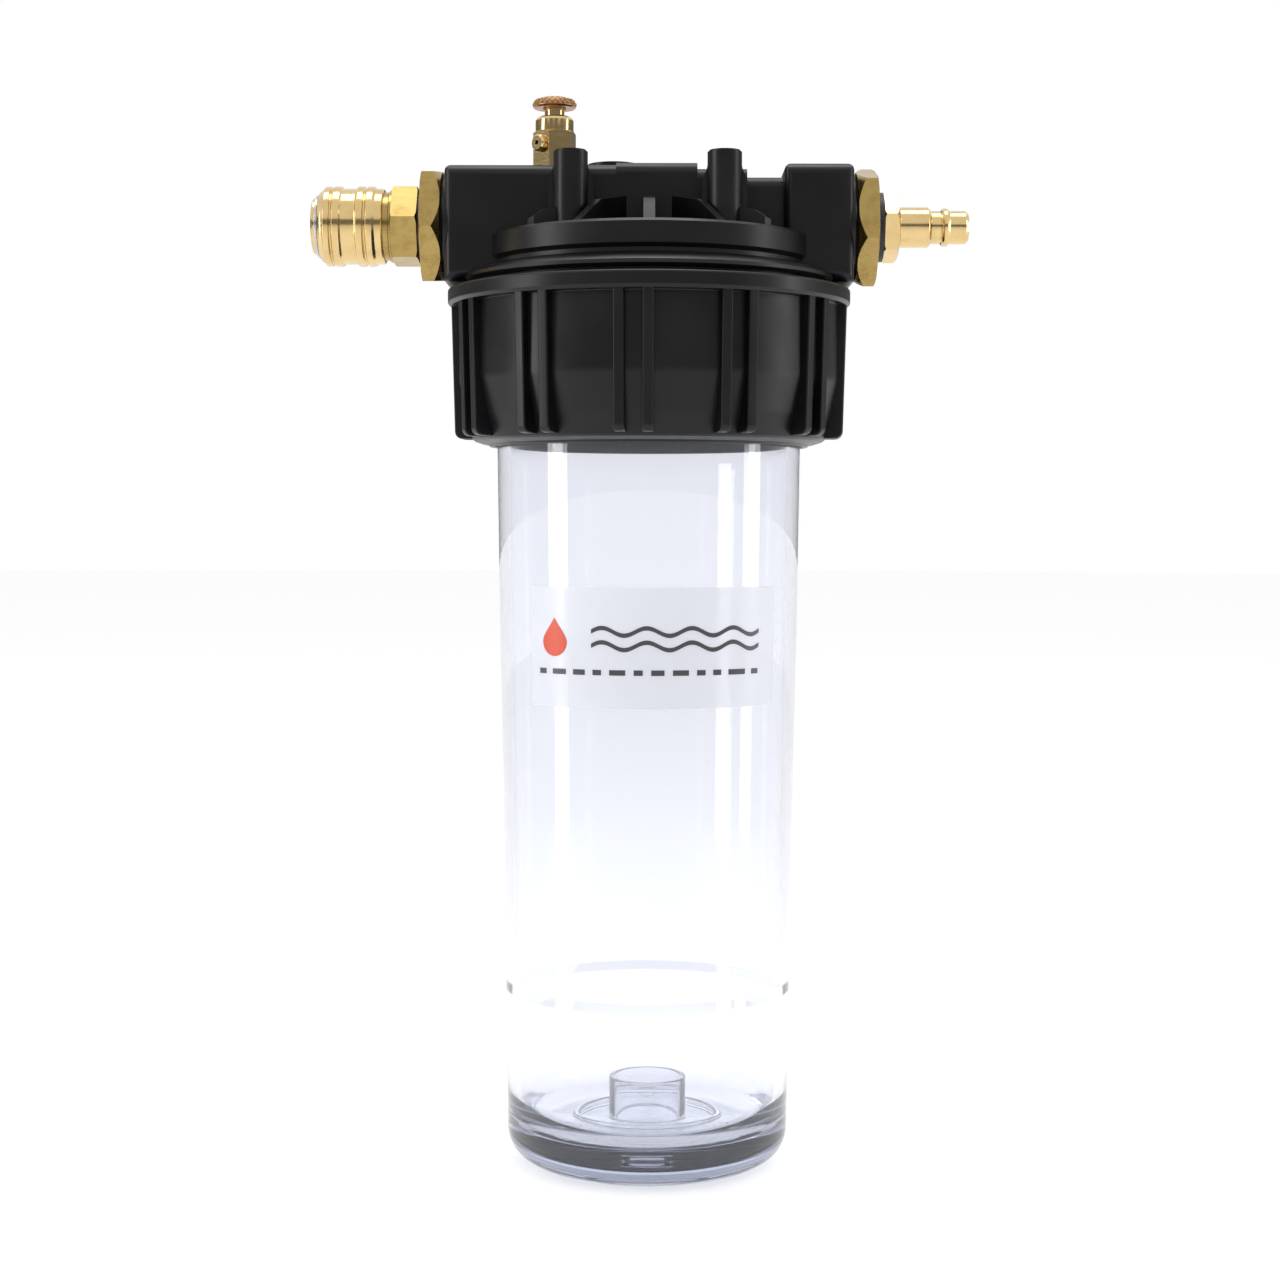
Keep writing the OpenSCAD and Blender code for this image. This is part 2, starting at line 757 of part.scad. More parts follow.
// Sliding sleeve with its two pairs of grip rings
module coupling_sleeve() {
    r = sleeve_r;
    p = sleeve_r + sleeve_ring_h;
    e = sleeve_end_u;
    u = sleeve_u;
    color(brass)
        on_port(-1)
            rotate_extrude()
                polygon([
                    [sleeve_bore_r, u], [r - 0.4, u], [r, u + 0.4], [r, u + 2.3],
                    [p - 0.2, u + 2.9], [p, u + 3.2], [p, u + 4.9], [r + 0.1, u + 5.3],
                    [r + 0.1, u + 5.7], [p, u + 6.1], [p, u + 7.8], [p - 0.2, u + 8.1],
                    [r, u + 8.4], [r, e - 7.3], [p - 0.2, e - 7], [p, e - 6.7], [p, e - 4.8],
                    [r + 0.1, e - 4.4], [r + 0.1, e - 4], [p - 0.1, e - 3.7],
                    [p - 0.1, e - 2], [r - 0.1, e - 1.7], [r - 0.9, e - 0.5],
                    [r - 1.6, e], [sleeve_lip_r, e], [sleeve_lip_r, e - lip_t],
                    [recess_r, e - lip_t],
                    [recess_r, land_end_u + (recess_r - land_r) / release_slope],
                    [land_r, land_end_u], [land_r, sleeve_step_u], [sleeve_bore_r, sleeve_step_u]
                ]);
}

// Spring that holds the sleeve forward
module sleeve_spring() {
    color(steel)
        on_port(-1)
            wire_spring(sleeve_spring_r, sleeve_spring_wire, collar_u + collar_t + face_fit,
                        sleeve_step_u - face_fit, 4);
}

// Snap ring in front of the sleeve
module sleeve_snap_ring() {
    color(steel)
        on_port(-1)
            difference() {
                tube(socket_r + 0.9, socket_r - 0.7 + fixed_fit, snap_u + face_fit,
                     snap_u + snap_t - face_fit);
                translate([0, -1.2, snap_u - 1])
                    cube([20, 2.4, snap_t + 2]);
            }
}

// One steel ball in the socket's wall
module locking_ball(i) {
    color(steel)
        on_port(-1)
            rotate([0, 0, i * 360 / ball_count + 45])
                translate([ball_rest, 0, ball_u])
                    sphere(ball_r);
}

// Flat seal that the poppet closes against
module coupling_seal() {
    color(rubber)
        on_port(-1)
            tube(chamber_r - fixed_fit, guide_r + 0.4, seat_u - poppet_seal_t, seat_u - face_fit);
}

// Valve poppet that shuts the coupling when no plug is in it
module coupling_poppet() {
    top = seat_u - poppet_seal_t - face_fit;
    color(brass)
        on_port(-1)
            rotate_extrude()
                polygon([
                    [0, top - 8], [1.3, top - 8], [1.6, top - 7.6], [1.6, top - 2.6],
                    [3.6, top - 1.6], [poppet_r, top - 1.6], [poppet_r, top], [4.6, top],
                    [4.6, seat_u - 0.7], [4.1, seat_u - 0.2], [0, seat_u - 0.2]
                ]);
}

// Spring behind the poppet
module poppet_spring() {
    top = seat_u - poppet_seal_t - face_fit - 1.6;
    color(steel)
        on_port(-1)
            wire_spring(4.9, 0.4, chamber_u + face_fit, top - face_fit, 4);
}

// Washer between the right reducer and the plug
module plug_washer() {
    color(rubber)
        on_port(1)
            tube(plug_af / sqrt(3) - 0.4, small_thread_r + 0.1, reducer_top_u + face_fit,
                 plug_u - face_fit);
}

// Quick plug screwed into the right reducer
module quick_plug() {
    s = plug_u + plug_hex_h;
    neck = s + 0.7 + plug_shank_l;
    bead = neck + plug_neck_l;
    tip = bead + plug_bead_l + plug_nose_l;
    color(brass)
        on_port(1)
            difference() {
                union() {
                    translate([0, 0, plug_u])
                        rotate([0, 0, 90 - 15.5])
                            turned_hex(plug_af, plug_hex_h, [0.6, 0.4], [1.4, 0.9]);
                    translate([0, 0, reducer_top_u - small_thread_h + 0.5])
                        cylinder(r = small_thread_r - fixed_fit,
                                 h = plug_u - reducer_top_u + small_thread_h);
                    rotate_extrude()
                        polygon([
                            [0, s - 1], [plug_shank_r + 0.9, s - 1], [plug_shank_r + 0.9, s + 0.1],
                            [plug_shank_r, s + 0.7], [plug_shank_r, neck - 0.4],
                            [plug_shank_r - 0.4, neck], [plug_neck_r, neck + 0.6],
                            [plug_neck_r, bead - 0.5], [plug_neck_r - 0.4, bead - 0.4],
                            [plug_neck_r - 0.4, bead], [plug_bead_r - 0.5, bead],
                            [plug_bead_r, bead + 0.6], [plug_bead_r, bead + plug_bead_l - 0.9],
                            [plug_nose_r, bead + plug_bead_l], [plug_nose_r, tip - 1],
                            [plug_nose_r - 0.8, tip], [0, tip]
                        ]);
                }
                translate([0, 0, -reducer_thread_h])
                    cylinder(r = plug_bore_r, h = tip + reducer_thread_h + 1);
            }
}

// Moves a shape onto the vent valve's axis
module on_vent() {
    translate([-vent_x, 0, 0])
        children();
}

// Brass body of the vent valve with its side spout
module vent_body() {
    corner = vent_af / sqrt(3);
    color(brass)
        on_vent()
            difference() {
                union() {
                    translate([0, 0, vent_z])
                        rotate([0, 0, -90 - 12.4])
                            turned_hex(vent_af, vent_hex_h, [0.5, 0.3], [corner - vent_top_r, 0.6]);
                    translate([0, 0, vent_z - vent_gasket_t - vent_thread_h])
                        cylinder(r = vent_thread_r - fixed_fit,
                                 h = vent_thread_h + vent_gasket_t + eps);
                    rotate_extrude()
                        polygon([
                            [0, vent_top_z - 1], [vent_top_r, vent_top_z - 1],
                            [vent_top_r, vent_cap_z - 1.2], [vent_top_r - 0.35, vent_cap_z - 0.45],
                            [vent_top_r - 1.1, vent_cap_z], [0, vent_cap_z]
                        ]);
                    translate([0, 0, spout_z])
                        rotate([90, 0, -spout_angle])
                            rotate_extrude()
                                polygon([
                                    [0, 4], [spout_r - 0.3, 4], [spout_r - 0.3, 6.3],
                                    [spout_r, 6.6], [spout_r, vent_af / 2 + spout_l - 0.5],
                                    [spout_r - 0.5, vent_af / 2 + spout_l],
                                    [0, vent_af / 2 + spout_l]
                                ]);
                }
                translate([0, 0, vent_z - vent_thread_h - 2])
                    cylinder(r = 1.5, h = vent_thread_h + 8);
                translate([0, 0, seat_z])
                    cylinder(r = spindle_r + run_fit, h = vent_cap_z);
                translate([0, 0, spout_z])
                    rotate([90, 0, -spout_angle])
                        cylinder(r = spout_bore_r, h = vent_af + spout_l);
            }
}

// Flat ring under the valve body
module vent_gasket() {
    color(rubber)
        on_vent()
            tube(vent_af / 2 - 0.1, vent_thread_r + 0.1, block_top + face_fit,
                 vent_z - face_fit);
}

// Turned spindle of the vent valve
module vent_spindle() {
    low = seat_z + 2.2;
    color(brass)
        on_vent()
            rotate_extrude()
                polygon([
                    [0, low], [1.9, low], [2.2, low + 0.3], [2.2, spout_z + 1.6],
                    [spindle_r, spout_z + 2.4], [spindle_r, vent_ring_z - 0.05],
                    [spindle_r - 1, vent_ring_z - 0.05],
                    [spindle_r - 1, vent_ring_z + vent_ring_h + 0.05],
                    [spindle_r, vent_ring_z + vent_ring_h + 0.05],
                    [spindle_r, knob_z + 0.3], [2.2, knob_z + 0.3], [2.2, knob_z + 2.2],
                    [0, knob_z + 2.2]
                ]);
}

// Seal round the spindle
module vent_o_ring() {
    color(rubber)
        on_vent()
            tube(spindle_r + run_fit - 0.02, spindle_r - 0.98, vent_ring_z,
                 vent_ring_z + vent_ring_h);
}

// Disc that the spindle presses on the valve seat
module vent_seat_seal() {
    color(rubber)
        on_vent()
            translate([0, 0, seat_z + face_fit])
                cylinder(r = 2.4, h = 2.2 - 2 * face_fit);
}

// Knurled knob on the spindle
module vent_knob() {
    k = knob_z;
    color("#9c6d45")
        on_vent()
            difference() {
                rotate_extrude()
                    polygon([
                        [0, k - 0.6], [spindle_r + 0.5, k - 0.6], [spindle_r + 0.5, k],
                        [knob_r - 0.4, k], [knob_r, k + 0.5], [knob_r, k + 1.4],
                        [knob_r - 0.5, k + 2.1], [knob_r - 1.5, k + knob_h - 0.8],
                        [knob_r - 3, k + knob_h - 0.2], [knob_r - 5, k + knob_h],
                        [0, k + knob_h]
                    ]);
                translate([0, 0, k - 1])
                    cylinder(r = spindle_r + fixed_fit, h = 1.35);
                translate([0, 0, k - 1])
                    cylinder(r = 2.2 + fixed_fit, h = 3.3);
            }
}

head();
union_nut();
bowl();
bowl_o_ring();
bowl_label();
inlet_reducer();
outlet_reducer();
inlet_seal();
outlet_seal();
coupling_washer();
coupling_adaptor();
coupling_socket();
coupling_sleeve();
sleeve_spring();
sleeve_snap_ring();
locking_ball(0);  // locking_ball_1
locking_ball(1);  // locking_ball_2
locking_ball(2);  // locking_ball_3
locking_ball(3);  // locking_ball_4
coupling_seal();
coupling_poppet();
poppet_spring();
plug_washer();
quick_plug();
vent_body();
vent_gasket();
vent_spindle();
vent_o_ring();
vent_seat_seal();
vent_knob();
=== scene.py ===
"""In-line water filter housing with quick couplings: finishes, smooth meshes and stage."""

import math

import bmesh
import bpy
from bpy.props import FloatProperty, FloatVectorProperty, IntProperty, PointerProperty, StringProperty
from mathutils import Matrix, Vector


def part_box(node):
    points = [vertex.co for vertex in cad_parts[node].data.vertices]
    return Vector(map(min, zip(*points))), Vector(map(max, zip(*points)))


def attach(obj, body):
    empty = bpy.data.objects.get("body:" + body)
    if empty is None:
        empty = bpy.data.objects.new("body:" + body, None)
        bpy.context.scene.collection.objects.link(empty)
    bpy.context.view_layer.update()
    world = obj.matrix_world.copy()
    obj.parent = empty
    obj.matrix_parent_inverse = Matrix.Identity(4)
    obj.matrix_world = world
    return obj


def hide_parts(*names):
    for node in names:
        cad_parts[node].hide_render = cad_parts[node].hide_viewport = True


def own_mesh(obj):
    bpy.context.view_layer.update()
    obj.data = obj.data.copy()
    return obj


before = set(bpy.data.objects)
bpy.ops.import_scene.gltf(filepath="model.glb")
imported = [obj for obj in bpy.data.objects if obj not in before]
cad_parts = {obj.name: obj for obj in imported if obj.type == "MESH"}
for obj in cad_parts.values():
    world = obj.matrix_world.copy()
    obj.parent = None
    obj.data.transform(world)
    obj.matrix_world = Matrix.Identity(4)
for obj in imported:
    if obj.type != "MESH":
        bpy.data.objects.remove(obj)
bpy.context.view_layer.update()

bl_info = {
    "name": "Water filter housing",
    "version": (1, 0, 0),
    "blender": (4, 5, 0),
    "location": "View3D > Sidebar > Housing",
    "description": "Builds an in-line water filter housing with quick couplings",
    "category": "Object",
}

MM = 0.001


def box_mm(node):
    """Lowest and highest corner of a CAD node, in millimetres."""
    low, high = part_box(node)
    return Vector(low) / MM, Vector(high) / MM


BOWL_HIGH = box_mm("bowl")[1]
NUT_LOW, NUT_HIGH = box_mm("union_nut")
KNOB_LOW, KNOB_HIGH = box_mm("vent_knob")
LABEL_LOW, LABEL_HIGH = box_mm("bowl_label")
HEAD_GAP = 1.5
PORT_RISE = 18.2
PORT_Z = NUT_HIGH.z + HEAD_GAP + PORT_RISE
VENT_X = (KNOB_LOW.x + KNOB_HIGH.x) / 2
BOWL_CORNER_Z = 8.5
FLANGE_DOWN = 37


# ---------------------------------------------------------------- settings


class HousingSizes(bpy.types.PropertyGroup):
    """Sizes of the pieces that are modelled here."""

    bowl_top_radius: FloatProperty(
        name="Bowl radius at the top", description="Outside, under the flange",
        default=46.9 * MM, unit="LENGTH")
    bowl_base_radius: FloatProperty(
        name="Bowl radius at the base", description="Outside, above the bottom corner",
        default=43.8 * MM, unit="LENGTH")
    bowl_wall: FloatProperty(
        name="Bowl wall", description="Thickness of the clear wall", default=3.9 * MM, unit="LENGTH")
    bowl_corner: FloatProperty(
        name="Bottom corner", description="Outer radius of the bowl's bottom corner",
        default=10 * MM, unit="LENGTH")
    thread_pitch: FloatProperty(
        name="Thread pitch", description="Pitch of the thread between nut and head",
        default=6 * MM, unit="LENGTH")
    rib_width: FloatProperty(
        name="Rib width", description="Width of a rib on the union nut",
        default=3.2 * MM, unit="LENGTH")
    rib_pairs: IntProperty(
        name="Rib pairs", description="Pairs of ribs round the union nut", default=12, min=4)
    edge: FloatProperty(
        name="Moulded edge", description="Radius of the plastic's outer edges",
        default=0.6 * MM, unit="LENGTH")
    turned_edge: FloatProperty(
        name="Turned edge", description="Broken edge of the turned brass",
        default=0.15 * MM, unit="LENGTH")


class HousingColours(bpy.types.PropertyGroup):
    """Colours of the finishes, as sRGB hex values."""

    plastic: StringProperty(name="Black plastic", description="Moulded plastic", default="#060608")
    brass: StringProperty(name="Polished brass", description="Turned brass", default="#d3b883")
    bar_brass: StringProperty(name="Bar brass", description="Drawn hexagon bar", default="#a28a54")
    knob: StringProperty(name="Knob brass", description="Knurled, darkened brass", default="#a27a52")
    steel: StringProperty(name="Steel", description="Turned steel", default="#b9babd")
    rubber: StringProperty(name="Rubber", description="Seals and washers", default="#121214")
    clear: StringProperty(name="Clear plastic", description="Bowl", default="#fafbff")
    clear_depth: StringProperty(
        name="Clear plastic in depth", description="Colour of a long look through the wall",
        default="#9aa3bd")
    film: StringProperty(name="Label film", description="Film of the label", default="#dfe1e8")
    print_dark: StringProperty(
        name="Dark print", description="Waves and dashes on the label", default="#3a3a3e")
    print_warm: StringProperty(name="Warm print", description="Drop on the label", default="#c2401f")
    floor: StringProperty(name="Floor", description="Studio floor", default="#f4f4f4")


def sizes():
    return bpy.context.scene.housing_sizes


def colours():
    return bpy.context.scene.housing_colours


def srgb(hex_value):
    """A hex colour as linear RGBA."""
    parts = [int(hex_value[i:i + 2], 16) / 255 for i in (1, 3, 5)]
    return (*[c / 12.92 if c <= 0.04045 else ((c + 0.055) / 1.055) ** 2.4 for c in parts], 1.0)


# ---------------------------------------------------------------- materials


def add(tree, kind, inputs=None, **settings):
    """Adds a shader node. An input's value is a constant, or an output socket to link from."""
    node = tree.nodes.new(kind)
    for key, value in settings.items():
        setattr(node, key, value)
    for key, value in (inputs or {}).items():
        socket = node.inputs[key]
        if isinstance(value, bpy.types.NodeSocket):
            tree.links.new(value, socket)
        else:
            socket.default_value = value
    return node


def per_mm(size):
    """Scale of a pattern on Object coordinates whose features are that many millimetres."""
    return 1 / (size * MM)


def new_material(name):
    """An empty node material with its output and Object coordinates."""
    material = bpy.data.materials.new(name)
    material.use_nodes = True
    tree = material.node_tree
    tree.nodes.clear()
    place = add(tree, "ShaderNodeTexCoord").outputs["Object"]
    out = add(tree, "ShaderNodeOutputMaterial")
    return material, tree, place, out


def finish_material(material, tree, out, shader):
    tree.links.new(shader.outputs[0], out.inputs["Surface"])
    return material


def black_abs():
    """Injection-moulded black plastic: satin, with a fine mould grain and faint flow shading."""
    c = srgb(colours().plastic)
    material, tree, place, out = new_material("moulded_black_plastic")
    cloud = add(tree, "ShaderNodeTexNoise", {"Vector": place, "Scale": per_mm(18), "Detail": 3.0})
    grain = add(tree, "ShaderNodeTexNoise", {"Vector": place, "Scale": per_mm(0.55), "Detail": 2.0})
    tint = add(tree, "ShaderNodeMix", {
        "Factor": cloud.outputs["Fac"], "A": c,
        "B": (c[0] * 1.5, c[1] * 1.5, c[2] * 1.7, 1.0)}, data_type="RGBA")
    gloss = add(tree, "ShaderNodeMapRange", {
        "Value": cloud.outputs["Fac"], "From Min": 0.3, "From Max": 0.7,
        "To Min": 0.3, "To Max": 0.4})
    bump = add(tree, "ShaderNodeBump", {
        "Height": grain.outputs["Fac"], "Strength": 0.12, "Distance": 0.05 * MM})
    shader = add(tree, "ShaderNodeBsdfPrincipled", {
        "Base Color": tint.outputs["Result"], "Roughness": gloss.outputs["Result"],
        "IOR": 1.5, "Specular IOR Level": 0.3, "Normal": bump.outputs["Normal"]})
    return finish_material(material, tree, out, shader)


def clear_san():
    """Clear SAN bowl: water-clear with a very pale blue body and moulded gloss."""
    material, tree, place, out = new_material("clear_san_plastic")
    wave = add(tree, "ShaderNodeTexNoise", {"Vector": place, "Scale": per_mm(30), "Detail": 1.0})
    bump = add(tree, "ShaderNodeBump", {
        "Height": wave.outputs["Fac"], "Strength": 0.03, "Distance": 0.3 * MM})
    shader = add(tree, "ShaderNodeBsdfPrincipled", {
        "Base Color": srgb(colours().clear), "Roughness": 0.01, "IOR": 1.57,
        "Transmission Weight": 0.97, "Normal": bump.outputs["Normal"]})
    haze = add(tree, "ShaderNodeVolumeAbsorption", {
        "Color": srgb(colours().clear_depth), "Density": 22.0})
    tree.links.new(haze.outputs[0], out.inputs["Volume"])
    return finish_material(material, tree, out, shader)


def turned_metal(name, colour, rough, stain, along=0, line=0.35):
    """Turned metal: bright, with fine tool rings across its axis and faint tarnish."""
    material, tree, place, out = new_material(name)
    base = srgb(colour)
    stretch = [per_mm(6), per_mm(6), per_mm(6)]
    stretch[along] = per_mm(line)
    rings_at = add(tree, "ShaderNodeVectorMath", {0: place, 1: stretch}, operation="MULTIPLY")
    rings = add(tree, "ShaderNodeTexNoise", {
        "Vector": rings_at.outputs["Vector"], "Scale": 1.0, "Detail": 2.0})
    tarnish = add(tree, "ShaderNodeTexNoise", {
        "Vector": place, "Scale": per_mm(5), "Detail": 4.0, "Roughness": 0.6})
    amount = add(tree, "ShaderNodeMapRange", {
        "Value": tarnish.outputs["Fac"], "From Min": 0.45, "From Max": 0.75,
        "To Min": 0.0, "To Max": stain})
    dark = (base[0] * 0.55, base[1] * 0.45, base[2] * 0.35, 1.0)
    tint = add(tree, "ShaderNodeMix", {
        "Factor": amount.outputs["Result"], "A": base, "B": dark}, data_type="RGBA")
    gloss = add(tree, "ShaderNodeMapRange", {
        "Value": rings.outputs["Fac"], "From Min": 0.3, "From Max": 0.7,
        "To Min": rough * 0.85, "To Max": rough * 1.2})
    bump = add(tree, "ShaderNodeBump", {
        "Height": rings.outputs["Fac"], "Strength": 0.05, "Distance": 0.01 * MM})
    shader = add(tree, "ShaderNodeBsdfPrincipled", {
        "Base Color": tint.outputs["Result"], "Metallic": 1.0,
        "Roughness": gloss.outputs["Result"], "Normal": bump.outputs["Normal"]})
    return finish_material(material, tree, out, shader)


def turned_steel():
    """Turned steel: neutral grey, bright, with faint tool rings."""
    return turned_metal("turned_steel", colours().steel, 0.22, 0.1)


def nitrile_rubber():
    """Moulded nitrile rubber: near black, soft sheen, slightly dusty."""
    c = srgb(colours().rubber)
    material, tree, place, out = new_material("nitrile_rubber")
    dust = add(tree, "ShaderNodeTexNoise", {"Vector": place, "Scale": per_mm(1.2), "Detail": 4.0})
    tint = add(tree, "ShaderNodeMix", {
        "Factor": dust.outputs["Fac"], "A": c,
        "B": (c[0] * 2.2, c[1] * 2.2, c[2] * 2.2, 1.0)}, data_type="RGBA")
    bump = add(tree, "ShaderNodeBump", {
        "Height": dust.outputs["Fac"], "Strength": 0.15, "Distance": 0.05 * MM})
    shader = add(tree, "ShaderNodeBsdfPrincipled", {
        "Base Color": tint.outputs["Result"], "Roughness": 0.5, "IOR": 1.5,
        "Normal": bump.outputs["Normal"]})
    return finish_material(material, tree, out, shader)


def label_film():
    """Frosted polyester film: milky, lets some light through."""
    material, tree, place, out = new_material("frosted_label_film")
    haze = add(tree, "ShaderNodeTexNoise", {"Vector": place, "Scale": per_mm(0.8), "Detail": 2.0})
    gloss = add(tree, "ShaderNodeMapRange", {
        "Value": haze.outputs["Fac"], "To Min": 0.3, "To Max": 0.45})
    shader = add(tree, "ShaderNodeBsdfPrincipled", {
        "Base Color": srgb(colours().film), "Roughness": gloss.outputs["Result"],
        "IOR": 1.5, "Alpha": 0.5})
    return finish_material(material, tree, out, shader)


def printing_ink(name, colour):
    """Screen-printed ink: flat colour with a slightly uneven coat."""
    base = srgb(colour)
    material, tree, place, out = new_material(name)
    coat = add(tree, "ShaderNodeTexNoise", {"Vector": place, "Scale": per_mm(0.6), "Detail": 2.0})
    tint = add(tree, "ShaderNodeMix", {
        "Factor": coat.outputs["Fac"], "A": base,
        "B": (base[0] * 1.15, base[1] * 1.15, base[2] * 1.15, 1.0)}, data_type="RGBA")
    shader = add(tree, "ShaderNodeBsdfPrincipled", {
        "Base Color": tint.outputs["Result"], "Roughness": 0.35, "IOR": 1.5})
    return finish_material(material, tree, out, shader)


def studio_floor():
    """Matt white studio sweep with a faint paper tooth."""
    material, tree, place, out = new_material("studio_paper")
    tooth = add(tree, "ShaderNodeTexNoise", {"Vector": place, "Scale": per_mm(2), "Detail": 2.0})
    bump = add(tree, "ShaderNodeBump", {
        "Height": tooth.outputs["Fac"], "Strength": 0.05, "Distance": 0.1 * MM})
    shader = add(tree, "ShaderNodeBsdfPrincipled", {
        "Base Color": srgb(colours().floor), "Roughness": 0.9, "Normal": bump.outputs["Normal"]})
    return finish_material(material, tree, out, shader)


FINISHES = {
    "black": black_abs,
    "clear": clear_san,
    "brass": lambda: turned_metal("turned_brass", colours().brass, 0.16, 0.25),
    "brass_upright": lambda: turned_metal("turned_brass_upright", colours().brass, 0.16, 0.2, 2),
    "bar_brass": lambda: turned_metal("drawn_brass_bar", colours().bar_brass, 0.26, 0.55, 1, 0.5),
    "knob": lambda: turned_metal("darkened_brass", colours().knob, 0.3, 0.5, 2, 0.4),
    "steel": turned_steel,
    "rubber": nitrile_rubber,
    "film": label_film,
    "dark_ink": lambda: printing_ink("dark_ink", colours().print_dark),
    "warm_ink": lambda: printing_ink("warm_ink", colours().print_warm),
    "floor": studio_floor,
}
made = {}


def finish_of(key):
    """The material of that finish, made once."""
    if key not in made:
        made[key] = FINISHES[key]()
    return made[key]


# ---------------------------------------------------------------- mesh helpers


def piece(name, bm, finish, body, replaced=(), smooth=35, edge=0.0, segments=2):
    """Makes a finished piece of a bmesh in millimetres and attaches it to its body."""
    bmesh.ops.remove_doubles(bm, verts=bm.verts, dist=0.002)
    bmesh.ops.scale(bm, verts=bm.verts, vec=(MM, MM, MM))
    bmesh.ops.recalc_face_normals(bm, faces=bm.faces)
    mesh = bpy.data.meshes.new(name)
    bm.to_mesh(mesh)
    bm.free()
    for polygon in mesh.polygons:
        polygon.use_smooth = True
    mesh.set_sharp_from_angle(angle=math.radians(smooth))
    mesh.materials.append(finish_of(finish))
    thing = bpy.data.objects.new(name, mesh)
    bpy.context.scene.collection.objects.link(thing)
    if edge:
        bevel = thing.modifiers.new("broken_edges", "BEVEL")
        bevel.width = edge
        bevel.segments = segments
        bevel.limit_method = "ANGLE"
        bevel.angle_limit = math.radians(smooth)
    if smooth < 60:
        thing.modifiers.new("even_shading", "WEIGHTED_NORMAL").keep_sharp = True
    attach(thing, body)
    if replaced:
        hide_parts(*replaced)
    return thing


def rounded(points, steps=6):
    """An outline from (x, y) or (x, y, radius) corners: a corner with a radius becomes an arc."""
    outline = []
    count = len(points)
    for i, point in enumerate(points):
        corner = Vector(point[:2])
        radius = point[2] if len(point) > 2 else 0
        if not radius:
            outline.append(corner)
            continue
        back = (Vector(points[i - 1][:2]) - corner).normalized()
        ahead = (Vector(points[(i + 1) % count][:2]) - corner).normalized()
        half = back.angle(ahead) / 2
        start = corner + back * (radius / math.tan(half))
        centre = corner + (back + ahead).normalized() * (radius / math.sin(half))
        first = start - centre
        turn = first.angle_signed(corner + ahead * (radius / math.tan(half)) - centre)
        for k in range(steps + 1):
            outline.append(centre + Matrix.Rotation(-turn * k / steps, 2) @ first)
    return outline


def spun(bm, points, steps=96, closed=True):
    """Adds a turned shape round Z from an outline of (radius, height) corners."""
    verts = [bm.verts.new((max(p.x, 0.0), 0, p.y)) for p in rounded(points)]
    edges = [bm.edges.new(pair) for pair in zip(verts, verts[1:])]
    if closed:
        edges.append(bm.edges.new((verts[-1], verts[0])))
    made_here = bmesh.ops.spin(
        bm, geom=verts + edges, cent=(0, 0, 0), axis=(0, 0, 1), angle=2 * math.pi,
        steps=steps, use_merge=True)
    return made_here


def turned(points, steps=96):
    """A closed turned shape as a new bmesh. Points on the axis are joined into one pole."""
    bm = bmesh.new()
    on_axis = points[0][0] == 0 and points[-1][0] == 0
    spun(bm, points, steps, closed=not on_axis)
    bmesh.ops.remove_doubles(bm, verts=bm.verts, dist=0.0005)
    return bm


def join(bm, other):
    """Adds another bmesh's shape to bm."""
    mesh = bpy.data.meshes.new("part")
    other.to_mesh(mesh)
    other.free()
    bm.from_mesh(mesh)
    bpy.data.meshes.remove(mesh)


def cad_copy(name, node, finish, body, smooth=30, edge=0.0, segments=2, flat=0.5):
    """A merged copy of a CAD node with broken edges; faces within flat degrees are joined."""
    bm = bmesh.new()
    bm.from_mesh(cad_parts[node].data)
    bmesh.ops.scale(bm, verts=bm.verts, vec=(1 / MM, 1 / MM, 1 / MM))
    bmesh.ops.remove_doubles(bm, verts=bm.verts, dist=0.001)
    if flat:
        bmesh.ops.dissolve_limit(
            bm, angle_limit=math.radians(flat), verts=bm.verts, edges=bm.edges)
    return piece(name, bm, finish, body, (node,), smooth, edge, segments)


# ---------------------------------------------------------------- operators


